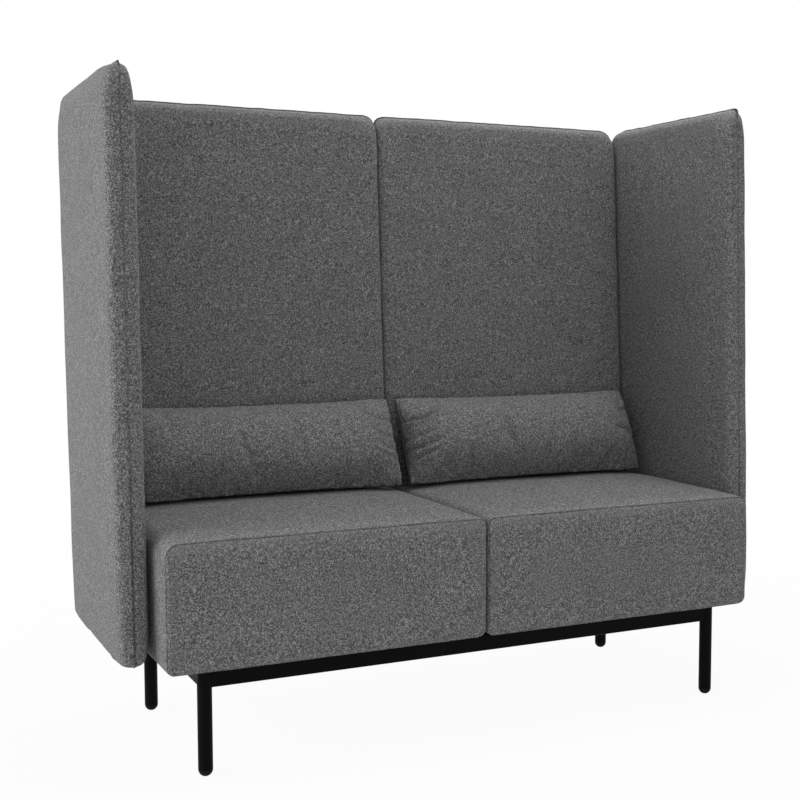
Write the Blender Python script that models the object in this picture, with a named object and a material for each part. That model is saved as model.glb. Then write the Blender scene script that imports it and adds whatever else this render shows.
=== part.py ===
# High-back two-seat sofa, metres, +Z up, front towards -Y.
# Steel base frame, two seat blocks, two back panels between two side wings, two loose lumbar cushions.
import math

import bmesh
import bpy
from mathutils import Matrix, Vector

# Fits
GAP = 0.0003                 # clearance between pieces that touch on the real sofa

# Seats
SEAT_WIDTH = 0.6555          # one seat block
SEAT_DEPTH = 0.5075          # from its front to the face of the back, at the seam's height
SEAT_SEAM_Z = 0.450          # seam round the top of the block
SEAT_CROWN = 0.014           # rise of the top above that seam
SEAT_SPLIT = 0.003           # half the gap between the two seats
SEAT_CORNER = 0.024
SEAT_BOARD = 0.015
SEAT_WRAP = 0.014            # cover and foam outside the edge of the seat board
SEAT_FRONT_Y = -0.3107
SEAT_OUTER_X = SEAT_SPLIT + SEAT_WIDTH
BACK_FACE_Y = SEAT_FRONT_Y + SEAT_DEPTH

# Base frame
LEG_RADIUS = 0.014
LEG_WALL = 0.002
LEG_SIDE_INSET = 0.0805      # leg centre inside the outer side of the seat
LEG_FRONT_INSET = 0.0435     # front leg behind the front of the seat
LEG_REAR_INSET = 0.029       # rear leg ahead of the face of the back
LEG_X = SEAT_OUTER_X - LEG_SIDE_INSET
LEG_FRONT_Y = SEAT_FRONT_Y + LEG_FRONT_INSET
LEG_REAR_Y = BACK_FACE_Y - LEG_REAR_INSET
FRAME_TOP = 0.2047           # top of rails and legs
RAIL_HEIGHT = 0.036
RAIL_WIDTH = 0.020
RAIL_CORNER = 0.003
CENTRE_RAIL_WIDTH = 0.080    # carries the inner edges of both seat boards
GLIDE_FLAT_RADIUS = 0.006
GLIDE_STEM_LENGTH = 0.018
SEAT_BOTTOM = FRAME_TOP + GAP

# Upright panels
PANEL_THICK = 0.058
PANEL_BOTTOM = 0.207
PANEL_TOP = 1.322
PANEL_TOP_CORNER = 0.028
PANEL_EDGE_RADIUS = 0.010    # where a face turns into the edge band
PANEL_LOW_CORNER = 0.026
PANEL_CROWN = 0.003
PANEL_PINCH = 0.45           # share of the thickness that the seam takes at a corner
PANEL_PINCH_REACH = 0.080    # how far from the corner that is felt
PANEL_BOARD = 0.012
BOARD_MARGIN = 0.060         # from the panel's edge to its core board
LEAN = 0.065                 # backward slope of the back, metres per metre of height
LEAN_ANGLE = math.atan(LEAN)
WING_FRONT_INSET = 0.0845    # front edge of the wings behind the front of the seat, at the seam's height
WING_FRONT_LEAN = 0.035
WING_CLEARANCE = 0.011       # between a seat's outer side and its wing
WING_FRONT_Y = SEAT_FRONT_Y + WING_FRONT_INSET
WING_INNER_X = SEAT_OUTER_X + WING_CLEARANCE
WING_MID_X = WING_INNER_X + PANEL_THICK / 2
BACK_SPLIT = 0.0005          # half the gap between the two back panels
BACK_OUTER_X = WING_INNER_X - PANEL_CROWN - 2 * GAP

# Steel brackets that carry the panels
BRACKET_WIDTH = 0.040
BRACKET_HEIGHT = 0.300       # how far an upright reaches into its panel
BRACKET_END = 0.045          # from the end of a core board to its nearest bracket's middle
BRACKET_RAIL_GAP = 0.004     # between a side rail and the wing bracket beside it
BRACKET_TAB_LIFT = 0.010     # back bracket above the underside of the rear rail
WING_BRACKET_INNER_X = LEG_X + RAIL_WIDTH / 2 + BRACKET_RAIL_GAP
BRACKET_LEG_GAP = 0.078      # outer back bracket inside the leg
BACK_BRACKET_X = (0.150, LEG_X - BRACKET_LEG_GAP)
BRACKET_STEEL = 0.005        # flat steel of a wing bracket below its upright
BRACKET_RISE = 0.030         # where it enters the wing, above the wing's lower edge
BRACKET_SEAT_GAP = 0.001     # between a seat's side and the bracket that rises beside it

# Fasteners
BOLT_INSET = 0.020           # wing bolts inside the edge of the seat board
WING_BOLT_X = SEAT_OUTER_X - SEAT_WRAP - BOLT_INSET
SCREW_RADIUS = 0.003         # rail screws into the seat boards
SCREW_HEAD_RADIUS = 0.006
SCREW_HEAD_HEIGHT = 0.0035
SCREW_GRIP = 0.011           # length of thread in the board
SCREW_LEG_GAP = 0.110        # outer front screw inside the leg
SCREW_FRONT_X = (0.120, LEG_X - SCREW_LEG_GAP)
SCREW_CENTRE_X = 0.0285
SCREW_REAR_INSET = 0.070     # rear screws ahead of the rear legs
SCREW_REAR_Y = LEG_REAR_Y - SCREW_REAR_INSET
BOLT_RADIUS = 0.004          # wing bracket bolts
BOLT_HEAD_RADIUS = 0.008
BOLT_HEAD_HEIGHT = 0.005

# Lumbar cushions
CUSHION_SPLIT = 0.012        # half the gap between the two cushions
CUSHION_WING_GAP = 0.030     # between a cushion's end and the wing
CUSHION_HALF_WIDTH = (WING_INNER_X - CUSHION_WING_GAP - CUSHION_SPLIT) / 2
CUSHION_HALF_HEIGHT = 0.108
CUSHION_HALF_THICK = 0.052
CUSHION_TILT = math.radians(26.0)
CUSHION_X = CUSHION_SPLIT + CUSHION_HALF_WIDTH
CUSHION_DRAW_IN = 0.006      # how far a side pulls in between two corners
CUSHION_GRID = (22, 12)

# Finishes: colour, roughness, metallic
FINISHES = {
    "fabric": ((0.115, 0.117, 0.120, 1.0), 0.95, 0.0),
    "steel": ((0.012, 0.012, 0.013, 1.0), 0.45, 0.0),
    "plastic": ((0.010, 0.010, 0.010, 1.0), 0.60, 0.0),
    "plywood": ((0.480, 0.330, 0.190, 1.0), 0.70, 0.0),
}


def sides():
    """The two halves, with the sign of their X."""
    return ("left", -1.0), ("right", 1.0)


def back_face_y(z):
    return BACK_FACE_Y + LEAN * (z - SEAT_SEAM_Z)


def back_mid_y(z):
    return back_face_y(z) + PANEL_THICK / 2 / math.cos(LEAN_ANGLE)


def back_rear_y(z):
    return back_face_y(z) + PANEL_THICK / math.cos(LEAN_ANGLE)


def wing_front_y(z):
    return WING_FRONT_Y + WING_FRONT_LEAN * (z - SEAT_SEAM_Z)


def wing_board_ends():
    """Front and rear edge of a wing's core board."""
    return wing_front_y(PANEL_TOP) + BOARD_MARGIN, back_rear_y(PANEL_BOTTOM) - BOARD_MARGIN


def wing_bracket_places():
    front, rear = wing_board_ends()
    return front + BRACKET_END, rear - BRACKET_END


def add_object(name, finish, mesh):
    mesh_object = bpy.data.objects.new(name, mesh)
    bpy.context.scene.collection.objects.link(mesh_object)
    colour, roughness, metallic = FINISHES[finish]
    material = bpy.data.materials.new(name + "_" + finish)
    material.use_nodes = True
    shader = material.node_tree.nodes["Principled BSDF"]
    shader.inputs["Base Color"].default_value = colour
    shader.inputs["Roughness"].default_value = roughness
    shader.inputs["Metallic"].default_value = metallic
    mesh.materials.append(material)
    return mesh_object


def loft(name, rings, smooth=True):
    """Closed mesh through rings of equal point count, with a flat cap on the first and last ring."""
    mesh = bpy.data.meshes.new(name)
    form = bmesh.new()
    loops = [[form.verts.new(point) for point in ring] for ring in rings]
    count = len(loops[0])
    for lower, upper in zip(loops, loops[1:]):
        for i in range(count):
            j = (i + 1) % count
            form.faces.new((lower[i], lower[j], upper[j], upper[i]))
    form.faces.new(list(reversed(loops[0])))
    form.faces.new(loops[-1])
    bmesh.ops.recalc_face_normals(form, faces=form.faces)
    for face in form.faces:
        face.smooth = smooth and len(face.verts) == 4
    form.to_mesh(mesh)
    form.free()
    return mesh


def prism(name, outline, axis, start, end):
    """Outline of 3-D points, given at axis = 0, extruded along that axis."""
    rings = []
    for level in (start, end):
        ring = []
        for point in outline:
            moved = Vector(point)
            moved[axis] += level
            ring.append(moved)
        rings.append(ring)
    return loft(name, rings, smooth=False)


def rounded_outline(corners, radii, steps):
    """Points and outward normals of a convex polygon (counter-clockwise) with rounded corners."""
    points = []
    normals = []
    count = len(corners)
    for i in range(count):
        here = Vector(corners[i])
        to_last = (Vector(corners[i - 1]) - here).normalized()
        to_next = (Vector(corners[(i + 1) % count]) - here).normalized()
        half = to_last.angle(to_next) / 2
        centre = here + (to_last + to_next).normalized() * (radii[i] / math.sin(half))
        start = Vector((to_last.y, -to_last.x)) * -1.0
        if start.dot(to_next) > 0:
            start = -start
        stop = Vector((to_next.y, -to_next.x))
        if stop.dot(to_last) > 0:
            stop = -stop
        for k in range(steps + 1):
            normal = start.slerp(stop, k / steps)
            points.append(centre + normal * radii[i])
            normals.append(normal)
    return points, normals


def split_sides(points, normals, steps, reach):
    """Adds two points to each straight side, a given reach from its rounded ends."""
    fuller = []
    fuller_normals = []
    corner_points = steps + 1
    for i, (point, normal) in enumerate(zip(points, normals)):
        fuller.append(point)
        fuller_normals.append(normal)
        if (i + 1) % corner_points == 0:
            following = points[(i + 1) % len(points)]
            share = min(0.4, reach / (following - point).length)
            for place in (share, 1 - share):
                fuller.append(point.lerp(following, place))
                fuller_normals.append(normal)
    return fuller, fuller_normals


def inset(points, normals, distance):
    return [point - normal * distance for point, normal in zip(points, normals)]


def shrink(points, factor):
    middle = sum(points, Vector((0.0, 0.0))) / len(points)
    return [middle + (point - middle) * factor for point in points]


def fullness(point, corners):
    """Share of a panel's thickness that is left near its sewn corners."""
    nearest = min((point - Vector(corner)).length for corner in corners)
    return 1 - PANEL_PINCH * max(0.0, 1 - nearest / PANEL_PINCH_REACH) ** 2


def padded_panel(name, corners, radii, place):
    """Soft slab: two crowned faces sewn together along the middle of its edge."""
    half = PANEL_THICK / 2
    steps = 4
    points, normals = rounded_outline(corners, radii, steps)
    points, normals = split_sides(points, normals, steps, PANEL_PINCH_REACH)
    radius = PANEL_EDGE_RADIUS
    half_rings = [(points, 0.0)]
    for turn in (0.0, math.pi / 6, math.pi / 3, math.pi / 2):
        depth = radius * (1 - math.cos(turn))
        half_rings.append((inset(points, normals, depth), half - radius + radius * math.sin(turn)))
    half_rings.append((shrink(points, 0.80), half + 0.6 * PANEL_CROWN))
    half_rings.append((shrink(points, 0.45), half + PANEL_CROWN))
    rings = [(ring, -rise) for ring, rise in reversed(half_rings)] + half_rings[1:]
    return loft(name, [[place(p, depth * fullness(p, corners)) for p in ring] for ring, depth in rings])


def cut_pocket(target, name, mesh):
    """Subtracts a pocket from a pad. The cutter stays as a wire guide."""
    cutter = bpy.data.objects.new(name, mesh)
    bpy.context.scene.collection.objects.link(cutter)
    cutter.hide_render = True
    cutter.display_type = "WIRE"
    pocket = target.modifiers.new("pocket", "BOOLEAN")
    pocket.operation = "DIFFERENCE"
    pocket.solver = "EXACT"
    pocket.object = cutter


def drill(target, name, spots, radius, low, high):
    """Upright holes through a piece, all cut by one wire guide."""
    mesh = bpy.data.meshes.new(name)
    form = bmesh.new()
    for x, y in spots:
        place = Matrix.Translation((x, y, (low + high) / 2))
        bmesh.ops.create_cone(form, cap_ends=True, segments=16, radius1=radius, radius2=radius,
                              depth=high - low, matrix=place)
    form.to_mesh(mesh)
    form.free()
    cut_pocket(target, name, mesh)


def fastener(name, radius, head_radius, head_height, length, place):
    """Screw or bolt standing head down, with the underside of its head at its origin."""
    profile = ((0.6 * head_radius, -head_height), (0.9 * head_radius, -0.8 * head_height),
               (head_radius, -0.4 * head_height), (head_radius, 0.0), (radius, 0.0), (radius, length))
    screw = add_object(name, "steel", turned("screw", profile, False, 16))
    screw.location = place


def coped_bar(name, half_length, width, cope_radius):
    """Bar along +X with rounded long edges; its ends follow an upright round leg."""
    half_width = width / 2
    half_height = RAIL_HEIGHT / 2
    levels = [(-half_width, half_height - RAIL_CORNER),
              (-half_width + 0.3 * RAIL_CORNER, half_height - 0.3 * RAIL_CORNER)]
    for k in range(7):
        across = (-1 + k / 3) * (half_width - RAIL_CORNER)
        levels.append((across, half_height))
    levels += [(half_width - 0.3 * RAIL_CORNER, half_height - 0.3 * RAIL_CORNER),
               (half_width, half_height - RAIL_CORNER)]
    mesh = bpy.data.meshes.new(name)
    form = bmesh.new()
    ends = []
    for side in (-1.0, 1.0):
        upper = []
        lower = []
        for across, height in levels:
            reach = half_length
            if cope_radius:
                reach -= math.sqrt(cope_radius ** 2 - across ** 2)
            upper.append(form.verts.new((side * reach, across, height)))
            lower.append(form.verts.new((side * reach, across, -height)))
        for i in range(len(levels) - 1):
            form.faces.new((upper[i], upper[i + 1], lower[i + 1], lower[i]))
        ends.append(upper + list(reversed(lower)))
    count = len(ends[0])
    for i in range(count):
        j = (i + 1) % count
        form.faces.new((ends[0][i], ends[0][j], ends[1][j], ends[1][i]))
    bmesh.ops.recalc_face_normals(form, faces=form.faces)
    form.to_mesh(mesh)
    form.free()
    return mesh


def turned(name, profile, closed, steps=32):
    """Profile of (radius, height) turned about +Z; closed profiles make a ring."""
    mesh = bpy.data.meshes.new(name)
    form = bmesh.new()
    loops = []
    for radius, height in profile:
        loop = []
        for k in range(steps):
            turn = 2 * math.pi * k / steps
            loop.append(form.verts.new((radius * math.cos(turn), radius * math.sin(turn), height)))
        loops.append(loop)
    pairs = list(zip(loops, loops[1:]))
    if closed:
        pairs.append((loops[-1], loops[0]))
    else:
        form.faces.new(list(reversed(loops[0])))
        form.faces.new(loops[-1])
    for lower, upper in pairs:
        for i in range(steps):
            j = (i + 1) % steps
            face = form.faces.new((lower[i], lower[j], upper[j], upper[i]))
            face.smooth = True
    bmesh.ops.recalc_face_normals(form, faces=form.faces)
    form.to_mesh(mesh)
    form.free()
    return mesh


def build_frame():
    dome = math.sqrt(LEG_RADIUS ** 2 - GLIDE_FLAT_RADIUS ** 2)
    bore = LEG_RADIUS - LEG_WALL
    rail_z = FRAME_TOP - RAIL_HEIGHT / 2
    cope = LEG_RADIUS + GAP
    tube = ((LEG_RADIUS, dome + GAP), (LEG_RADIUS, FRAME_TOP), (bore, FRAME_TOP), (bore, dome + GAP))
    glide = []
    for k in range(6):
        lift = math.asin(dome / LEG_RADIUS) * (1 - k / 5)
        glide.append((LEG_RADIUS * math.cos(lift), dome - LEG_RADIUS * math.sin(lift)))
    stem = bore - GAP
    glide += [(stem, dome), (stem, dome + GLIDE_STEM_LENGTH)]
    for end, y in (("front", LEG_FRONT_Y), ("rear", LEG_REAR_Y)):
        for side, sign in sides():
            place = (sign * LEG_X, y, 0.0)
            leg = add_object("leg_%s_%s" % (end, side), "steel", turned("leg", tube, True))
            leg.location = place
            foot = add_object("glide_%s_%s" % (end, side), "plastic", turned("glide", glide, False))
            foot.location = place
        rail = add_object("rail_%s" % end, "steel", coped_bar("rail", LEG_X, RAIL_WIDTH, cope))
        rail.location = (0.0, y, rail_z)
    middle_y = (LEG_FRONT_Y + LEG_REAR_Y) / 2
    half_span = (LEG_REAR_Y - LEG_FRONT_Y) / 2
    quarter_turn = (0.0, 0.0, math.pi / 2)
    for side, sign in sides():
        rail = add_object("rail_%s" % side, "steel", coped_bar("rail", half_span, RAIL_WIDTH, cope))
        rail.location = (sign * LEG_X, middle_y, rail_z)
        rail.rotation_euler = quarter_turn
    inner_span = half_span - RAIL_WIDTH / 2 - GAP
    rail = add_object("rail_centre", "steel", coped_bar("rail", inner_span, CENTRE_RAIL_WIDTH, 0.0))
    rail.location = (0.0, middle_y, rail_z)
    rail.rotation_euler = quarter_turn


def seat_screw_places(sign):
    """Screw name to (rail that it goes through, x, y) for one seat."""
    return {
        "front_inner": ("rail_front", sign * SCREW_FRONT_X[0], LEG_FRONT_Y),
        "front_outer": ("rail_front", sign * SCREW_FRONT_X[1], LEG_FRONT_Y),
        "rear_inner": ("rail_centre", sign * SCREW_CENTRE_X, SCREW_REAR_Y),
        "rear_outer": ("rail_left" if sign < 0 else "rail_right", sign * LEG_X, SCREW_REAR_Y),
    }


def build_seat_screws():
    underside = FRAME_TOP - RAIL_HEIGHT
    ledge = underside + SCREW_HEAD_HEIGHT + GAP
    length = FRAME_TOP - ledge + 2 * GAP + SCREW_GRIP
    rail_spots = {}
    for side, sign in sides():
        for spot, (rail, x, y) in seat_screw_places(sign).items():
            rail_spots.setdefault(rail, []).append((x, y))
            fastener("seat_screw_%s_%s" % (side, spot), SCREW_RADIUS, SCREW_HEAD_RADIUS,
                     SCREW_HEAD_HEIGHT, length, (x, y, ledge - GAP))
    for rail, spots in rail_spots.items():
        drill(bpy.data.objects[rail], rail + "_holes", spots, SCREW_RADIUS + GAP,
              0.5 * FRAME_TOP, 1.1 * FRAME_TOP)
        drill(bpy.data.objects[rail], rail + "_head_seats", spots, SCREW_HEAD_RADIUS + GAP,
              0.5 * FRAME_TOP, ledge)


def seat_plan(sign, z, margin):
    """Corners of the seat block at one height, counter-clockwise."""
    near = SEAT_SPLIT + margin
    far = SEAT_OUTER_X - margin
    front = SEAT_FRONT_Y + margin
    rear = back_face_y(z) - PANEL_CROWN - GAP - margin
    low, high = sorted((sign * near, sign * far))
    return [(low, front), (high, front), (high, rear), (low, rear)]


def build_seats():
    top = SEAT_SEAM_Z
    levels = ((SEAT_BOTTOM, 0.005), (SEAT_BOTTOM + 0.003, 0.0015), (SEAT_BOTTOM + 0.012, 0.0),
              (top - 0.060, 0.0), (top - 0.014, 0.0008), (top - 0.003, 0.003), (top, 0.0055),
              (top + 0.25 * SEAT_CROWN, 0.012))
    steps = 4
    for side, sign in sides():
        rings = []
        for z, depth in levels:
            points, normals = rounded_outline(seat_plan(sign, z, 0.0), [SEAT_CORNER] * 4, steps)
            points, normals = split_sides(points, normals, steps, SEAT_WIDTH / 3)
            rings.append([(p.x, p.y, z) for p in inset(points, normals, depth)])
        for factor, rise in ((0.86, 0.75), (0.60, 1.0)):
            z = top + rise * SEAT_CROWN
            rings.append([(p.x, p.y, z) for p in shrink(points, factor)])
        pad = add_object("seat_pad_" + side, "fabric", loft("seat_pad", rings))
        board_top = SEAT_BOTTOM + SEAT_BOARD
        board_plan = seat_plan(sign, SEAT_BOTTOM, SEAT_WRAP)
        outline = [(x, y, 0.0) for x, y in board_plan]
        board = add_object("seat_board_" + side, "plywood",
                           prism("seat_board", outline, 2, SEAT_BOTTOM, board_top))
        screws = [(x, y) for rail, x, y in seat_screw_places(sign).values()]
        drill(board, "screw_holes_" + side, screws, SCREW_RADIUS + GAP,
              0.9 * SEAT_BOTTOM, SEAT_BOTTOM + SCREW_GRIP + GAP)
        bolts = [(sign * WING_BOLT_X, y) for y in wing_bracket_places()]
        drill(board, "bolt_holes_" + side, bolts, BOLT_RADIUS + GAP,
              0.9 * SEAT_BOTTOM, SEAT_BOTTOM + SCREW_GRIP + GAP)
        recess = [(x, y, 0.0) for x, y in seat_plan(sign, SEAT_BOTTOM, SEAT_WRAP - GAP)]
        cut_pocket(pad, "seat_recess_" + side,
                   prism("seat_recess", recess, 2, SEAT_BOTTOM - SEAT_BOARD, board_top + GAP))


def notched_board(corners, notches, notch_top):
    """Outline of a core board with slots, open at the bottom, for the bracket uprights."""
    low_a, low_b, high_b, high_a = corners
    outline = [low_a]
    for centre in sorted(notches):
        half = BRACKET_WIDTH / 2 + GAP
        outline += [(centre - half, low_a[1]), (centre - half, notch_top),
                    (centre + half, notch_top), (centre + half, low_a[1])]
    return outline + [low_b, high_b, high_a]


def panel_node(kind, side, corners, board_corners, radii, notches, notch_top, place):
    """One upright panel: its soft pad, its core board and the pocket that the board fills."""
    half = PANEL_BOARD / 2
    pad = add_object("%s_pad_%s" % (kind, side), "fabric",
                     padded_panel("pad", corners, radii, place))
    outline = notched_board(board_corners, notches, notch_top)
    layers = [[place(Vector(p), depth) for p in outline] for depth in (-half, half)]
    add_object("%s_board_%s" % (kind, side), "plywood", loft("board", layers, smooth=False))
    low_a, low_b, high_b, high_a = [Vector(p) for p in board_corners]
    down = Vector((0.0, -2 * BOARD_MARGIN))
    pocket = [low_a + Vector((-GAP, 0.0)) + down, low_b + Vector((GAP, 0.0)) + down,
              high_b + Vector((GAP, GAP)), high_a + Vector((-GAP, GAP))]
    layers = [[place(p, depth) for p in pocket] for depth in (-half - GAP, half + GAP)]
    cut_pocket(pad, "%s_pocket_%s" % (kind, side), loft("pocket", layers, smooth=False))


def build_wings():
    low = PANEL_BOTTOM
    high = PANEL_TOP
    margin = BOARD_MARGIN
    corners = [(wing_front_y(low), low), (back_rear_y(low), low),
               (back_rear_y(high), high), (wing_front_y(high), high)]
    board_low = low + GAP
    board_high = high - margin
    board_front, board_rear = wing_board_ends()
    places = wing_bracket_places()
    board = [(board_front, board_low), (board_rear, board_low),
             (board_rear, board_high), (board_front, board_high)]
    radii = [PANEL_LOW_CORNER, PANEL_LOW_CORNER, PANEL_TOP_CORNER, PANEL_TOP_CORNER]
    tab_top = FRAME_TOP - GAP
    tab_low = tab_top - BRACKET_STEEL
    step_low = low + BRACKET_RISE
    step_top = step_low + BRACKET_STEEL
    upright_top = low + BRACKET_HEIGHT
    for side, sign in sides():
        def place(p, depth, sign=sign):
            return (sign * WING_MID_X + depth, p[0], p[1])
        panel_node("wing", side, corners, board, radii, places, upright_top + GAP, place)
        inner = WING_MID_X - PANEL_BOARD / 2
        outer = WING_MID_X + PANEL_BOARD / 2
        riser_inner = SEAT_OUTER_X + BRACKET_SEAT_GAP
        riser_outer = riser_inner + BRACKET_STEEL
        shape = [(WING_BRACKET_INNER_X, tab_low), (riser_outer, tab_low), (riser_outer, step_low),
                 (outer, step_low), (outer, upright_top), (inner, upright_top), (inner, step_top),
                 (riser_inner, step_top), (riser_inner, tab_top), (WING_BRACKET_INNER_X, tab_top)]
        outline = [(sign * x, 0.0, z) for x, z in shape]
        bolt_x = sign * WING_BOLT_X
        slot = bmesh.new()
        for y in places:
            size = (PANEL_THICK / 2, BRACKET_WIDTH + 2 * GAP, BRACKET_STEEL + 2 * GAP)
            middle = Matrix.Translation((sign * (inner - size[0] / 2), y, (step_low + step_top) / 2))
            bmesh.ops.create_cube(slot, size=1.0, matrix=middle @ Matrix.Diagonal((*size, 1.0)))
        slots = bpy.data.meshes.new("bracket_slots")
        slot.to_mesh(slots)
        slot.free()
        cut_pocket(bpy.data.objects["wing_pad_" + side], "bracket_slots_" + side, slots)
        for end, y in zip(("front", "rear"), places):
            bracket = add_object("wing_bracket_%s_%s" % (side, end), "steel",
                                 prism("bracket", outline, 1, y - BRACKET_WIDTH / 2, y + BRACKET_WIDTH / 2))
            drill(bracket, "bracket_hole_%s_%s" % (side, end), [(bolt_x, y)], BOLT_RADIUS + GAP,
                  0.9 * tab_low, 1.1 * tab_top)
            fastener("wing_bolt_%s_%s" % (side, end), BOLT_RADIUS, BOLT_HEAD_RADIUS, BOLT_HEAD_HEIGHT,
                     BRACKET_STEEL + 2 * GAP + SCREW_GRIP, (bolt_x, y, tab_low - GAP))


def build_backs():
    slope = math.cos(LEAN_ANGLE)
    low = PANEL_BOTTOM / slope
    high = (PANEL_TOP - PANEL_THICK / 2 * math.sin(LEAN_ANGLE)) / slope
    margin = BOARD_MARGIN
    upright_top = PANEL_BOTTOM + BRACKET_HEIGHT
    tab_low = FRAME_TOP - RAIL_HEIGHT + BRACKET_TAB_LIFT
    tab_top = tab_low + PANEL_BOARD
    half = PANEL_BOARD / 2 / slope
    rail_face = LEG_REAR_Y + RAIL_WIDTH / 2 + GAP
    shape = [(rail_face, tab_low), (back_mid_y(tab_low) + half, tab_low),
             (back_mid_y(upright_top) + half, upright_top), (back_mid_y(upright_top) - half, upright_top),
             (back_mid_y(tab_top) - half, tab_top), (rail_face, tab_top)]
    outline = [(0.0, y, z) for y, z in shape]
    radii = [PANEL_LOW_CORNER, PANEL_LOW_CORNER, PANEL_TOP_CORNER, PANEL_TOP_CORNER]

    def place(p, depth):
        z = p[1] * slope
        return (p[0], back_mid_y(z) + depth * slope, z - depth * math.sin(LEAN_ANGLE))

    for side, sign in sides():
        left, right = sorted((sign * BACK_SPLIT, sign * BACK_OUTER_X))
        corners = [(left, low), (right, low), (right, high), (left, high)]
        board = [(left + margin, low + GAP), (right - margin, low + GAP),
                 (right - margin, high - margin), (left + margin, high - margin)]
        notches = [sign * x for x in BACK_BRACKET_X]
        panel_node("back", side, corners, board, radii, notches, (upright_top + GAP) / slope + GAP, place)
        for end, x in zip(("inner", "outer"), notches):
            add_object("back_bracket_%s_%s" % (side, end), "steel",
                       prism("bracket", outline, 0, x - BRACKET_WIDTH / 2, x + BRACKET_WIDTH / 2))


def cushion_point(u, v, face):
    """Knife-edge pillow: corners stand out as ears and the sides draw in between them."""
    across = u * (CUSHION_HALF_WIDTH - CUSHION_DRAW_IN * (1 - v * v))
    up = v * (CUSHION_HALF_HEIGHT - CUSHION_DRAW_IN * (1 - u * u))
    swell = (1 - u ** 10) ** 0.5 * (1 - v * v) ** 0.62
    return Vector((across, face * CUSHION_HALF_THICK * swell, up))


def build_cushions():
    columns, rows = CUSHION_GRID
    mesh = bpy.data.meshes.new("cushion")
    form = bmesh.new()
    grids = {}
    for face in (-1.0, 1.0):
        for i in range(columns + 1):
            for j in range(rows + 1):
                u = math.sin(math.pi / 2 * (2 * i / columns - 1))
                v = math.sin(math.pi / 2 * (2 * j / rows - 1))
                on_edge = i in (0, columns) or j in (0, rows)
                if on_edge and face > 0:
                    grids[face, i, j] = grids[-1.0, i, j]
                else:
                    grids[face, i, j] = form.verts.new(cushion_point(u, v, face))
    for face in (-1.0, 1.0):
        for i in range(columns):
            for j in range(rows):
                quad = [grids[face, a, b] for a, b in ((i, j), (i + 1, j), (i + 1, j + 1), (i, j + 1))]
                form.faces.new(quad if face < 0 else list(reversed(quad))).smooth = True
    tilt = Matrix.Rotation(-CUSHION_TILT, 3, "X")
    bmesh.ops.rotate(form, verts=form.verts, cent=(0.0, 0.0, 0.0), matrix=tilt)
    seat_top = SEAT_SEAM_Z + SEAT_CROWN
    lowest = min(vert.co.z for vert in form.verts)
    centre_z = seat_top + GAP - lowest
    back_gap = PANEL_CROWN / math.cos(LEAN_ANGLE) + 2 * GAP
    reach = min(back_face_y(centre_z + vert.co.z) - vert.co.y for vert in form.verts)
    bmesh.ops.recalc_face_normals(form, faces=form.faces)
    form.to_mesh(mesh)
    form.free()
    for side, sign in sides():
        cushion = add_object("cushion_" + side, "fabric", mesh.copy())
        cushion.location = (sign * CUSHION_X, reach - back_gap, centre_z)


for old in list(bpy.data.objects):
    bpy.data.objects.remove(old, do_unlink=True)
build_frame()
build_seat_screws()
build_seats()
build_wings()
build_backs()
build_cushions()
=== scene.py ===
import math

import bmesh
import bpy
from mathutils import Matrix, Vector, noise


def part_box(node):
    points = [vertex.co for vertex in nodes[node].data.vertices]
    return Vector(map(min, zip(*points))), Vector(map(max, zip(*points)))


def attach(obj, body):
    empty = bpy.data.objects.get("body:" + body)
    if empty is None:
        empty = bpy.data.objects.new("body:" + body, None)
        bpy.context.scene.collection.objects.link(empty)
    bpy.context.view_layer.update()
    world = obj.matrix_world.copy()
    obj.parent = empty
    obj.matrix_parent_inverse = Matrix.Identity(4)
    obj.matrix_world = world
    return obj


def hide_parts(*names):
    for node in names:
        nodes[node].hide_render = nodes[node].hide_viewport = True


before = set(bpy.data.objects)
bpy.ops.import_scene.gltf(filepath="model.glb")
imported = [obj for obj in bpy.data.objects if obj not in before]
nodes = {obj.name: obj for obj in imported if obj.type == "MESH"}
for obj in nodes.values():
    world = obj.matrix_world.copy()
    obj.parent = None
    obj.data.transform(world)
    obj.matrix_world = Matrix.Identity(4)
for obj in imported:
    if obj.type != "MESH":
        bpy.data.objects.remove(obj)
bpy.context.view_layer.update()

sides = (("left", -1), ("right", 1))
print("frame loaded:", len(nodes), "nodes")


# shader maths: a socket that adds Math nodes when it is used in an expression
class Wire:
    def __init__(self, net, socket):
        self.net = net
        self.socket = socket

    def maths(self, operation, first, second):
        return self.net.node("ShaderNodeMath", {"operation": operation}, {0: first, 1: second})

    def __add__(self, other):
        return self.maths("ADD", self, other)

    def __radd__(self, other):
        return self.maths("ADD", other, self)

    def __sub__(self, other):
        return self.maths("SUBTRACT", self, other)

    def __rsub__(self, other):
        return self.maths("SUBTRACT", other, self)

    def __mul__(self, other):
        return self.maths("MULTIPLY", self, other)

    def __rmul__(self, other):
        return self.maths("MULTIPLY", other, self)

    def __or__(self, other):  # the larger of two masks
        return self.maths("MAXIMUM", self, other)

    def __ror__(self, other):
        return self.maths("MAXIMUM", other, self)

    # another output of the same node
    def output(self, key):
        return Wire(self.net, self.socket.node.outputs[key])


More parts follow.
